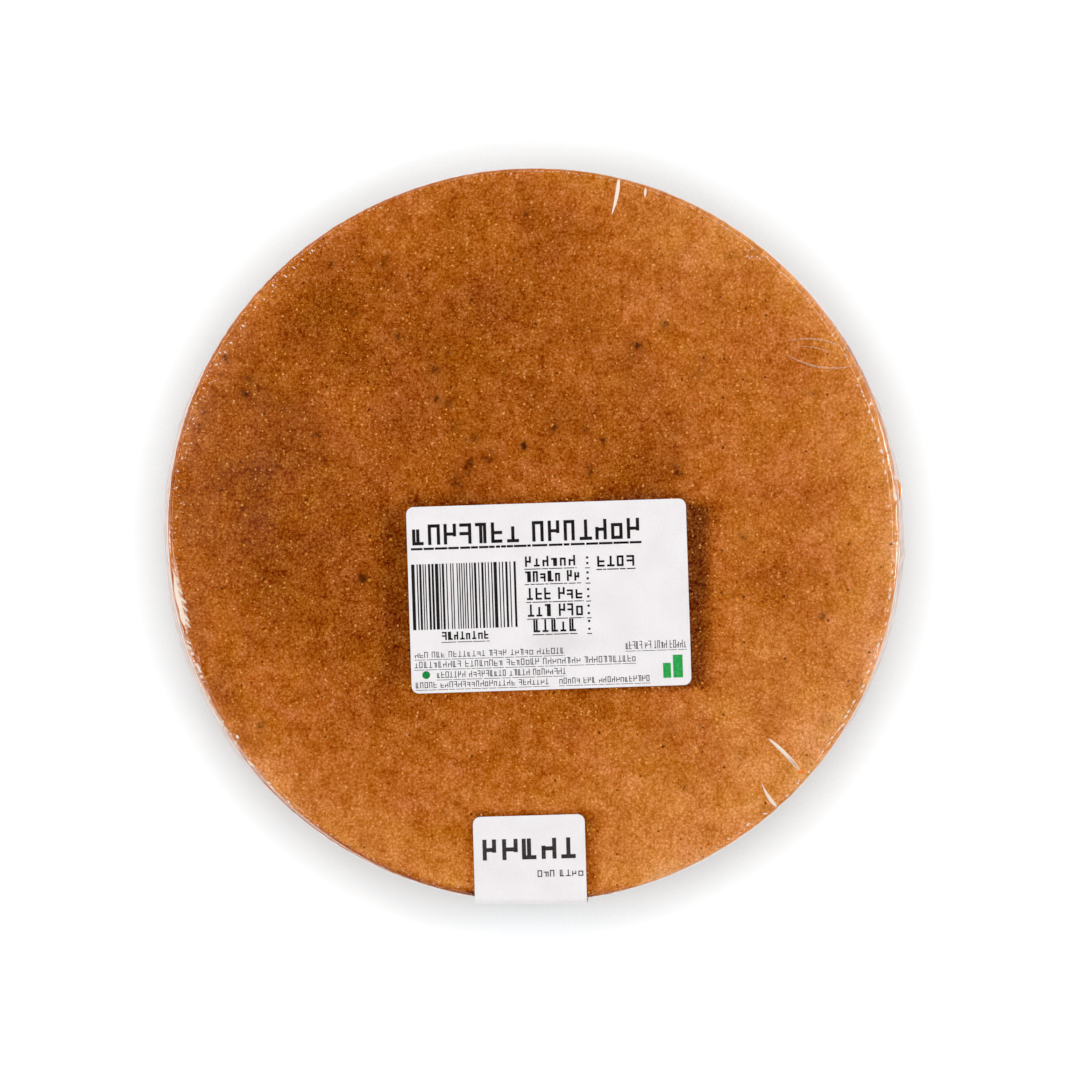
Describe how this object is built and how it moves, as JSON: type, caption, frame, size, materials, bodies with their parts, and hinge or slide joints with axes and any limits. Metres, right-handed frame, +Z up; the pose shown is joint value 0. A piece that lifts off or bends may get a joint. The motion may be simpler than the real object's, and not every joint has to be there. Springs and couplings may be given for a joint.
{
  "type": "film-wrapped stack of khakhra flatbreads",
  "caption": "Low round stack of thin crisp roasted flatbreads sealed in clear shrink film, with a paper label on top and a smaller one folded over the edge.",
  "frame": {"origin": "middle of the bounding box on the surface that the pack lies on", "axes": "+Z up out of the labelled top, -Y towards the edge with the folded label, +X to the right as the labels are read"},
  "size_m": [0.199, 0.1978, 0.0345],
  "materials": {
    "bread_under_film": "toasted brown flatbread seen through clear glossy shrink film",
    "label_paper": "smooth white label paper with plain dark print"
  },
  "bodies": {
    "root": {"wrapped_stack": "bread_under_film", "main_label": "label_paper", "edge_label": "label_paper"}
  },
  "joints": []
}
